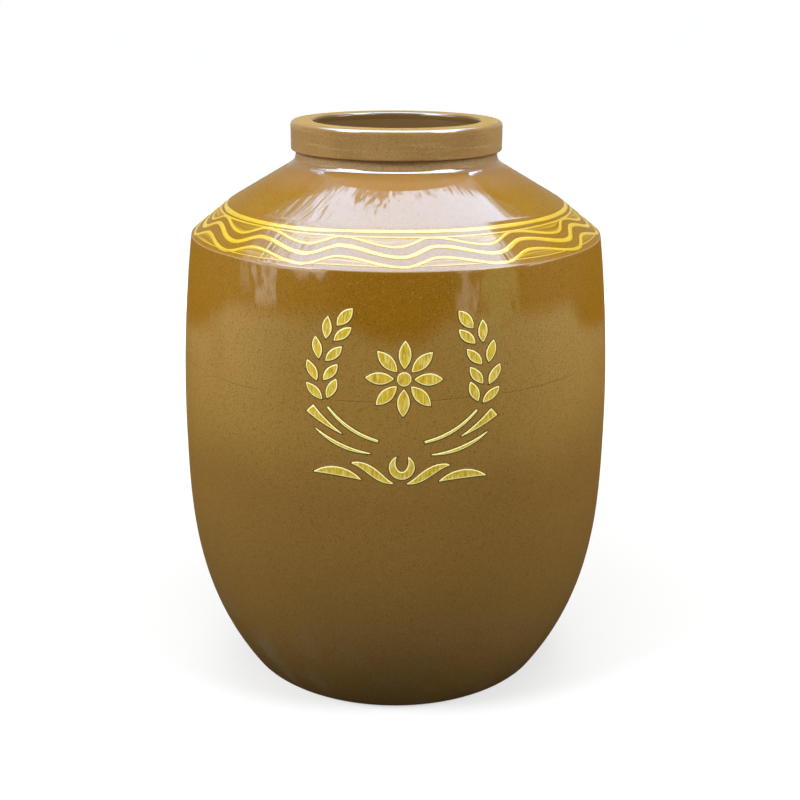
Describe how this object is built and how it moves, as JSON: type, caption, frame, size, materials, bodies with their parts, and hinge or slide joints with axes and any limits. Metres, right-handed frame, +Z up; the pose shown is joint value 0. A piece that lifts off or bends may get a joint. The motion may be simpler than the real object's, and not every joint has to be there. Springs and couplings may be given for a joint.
{
  "type": "ceramic wine jar",
  "caption": "Tall round glazed stoneware wine jar with a flat foot, sloped shoulder, thick collar, open mouth, wave band and wheat wreath; stores liquor.",
  "frame": {"origin": "centre of the flat foot, on the floor", "axes": "+Z up along the jar's axis, -Y towards the front with the wreath, +X to the right of a viewer facing the wreath"},
  "size_m": [0.776, 0.7774, 0.997],
  "materials": {
    "brown_glaze": "glossy golden brown glaze",
    "bare_clay": "matte fired clay with a thin glaze",
    "collar_glaze": "satin sandy brown glaze",
    "yellow_glaze": "glossy yellow glaze"
  },
  "bodies": {
    "root": {"base_slab": "brown_glaze", "lower_wall": "brown_glaze", "upper_wall": "brown_glaze", "shoulder_dome": "brown_glaze", "neck_ring": "bare_clay", "collar_ring": "collar_glaze", "band_top_line": "yellow_glaze", "band_upper_scallop": "yellow_glaze", "band_middle_wave": "yellow_glaze", "band_lower_scallop": "yellow_glaze", "wheat_grain_left_1": "yellow_glaze", "wheat_grain_right_1": "yellow_glaze", "wheat_grain_left_2": "yellow_glaze", "wheat_grain_right_2": "yellow_glaze", "wheat_grain_left_3": "yellow_glaze", "wheat_grain_right_3": "yellow_glaze", "wheat_grain_left_4": "yellow_glaze", "wheat_grain_right_4": "yellow_glaze", "wheat_grain_left_5": "yellow_glaze", "wheat_grain_right_5": "yellow_glaze", "wheat_grain_left_6": "yellow_glaze", "wheat_grain_right_6": "yellow_glaze", "wheat_grain_left_7": "yellow_glaze", "wheat_grain_right_7": "yellow_glaze", "wheat_grain_left_8": "yellow_glaze", "wheat_grain_right_8": "yellow_glaze", "wheat_grain_left_9": "yellow_glaze", "wheat_grain_right_9": "yellow_glaze", "stalk_left_1": "yellow_glaze", "stalk_right_1": "yellow_glaze", "stalk_left_2": "yellow_glaze", "stalk_right_2": "yellow_glaze", "stalk_left_3": "yellow_glaze", "stalk_right_3": "yellow_glaze", "ribbon_leaf_left_1": "yellow_glaze", "ribbon_leaf_right_1": "yellow_glaze", "ribbon_leaf_left_2": "yellow_glaze", "ribbon_leaf_right_2": "yellow_glaze", "crescent": "yellow_glaze", "rosette_petal_1": "yellow_glaze", "rosette_petal_2": "yellow_glaze", "rosette_petal_3": "yellow_glaze", "rosette_petal_4": "yellow_glaze", "rosette_petal_5": "yellow_glaze", "rosette_petal_6": "yellow_glaze", "rosette_petal_7": "yellow_glaze", "rosette_petal_8": "yellow_glaze", "rosette_boss": "yellow_glaze"}
  },
  "joints": []
}
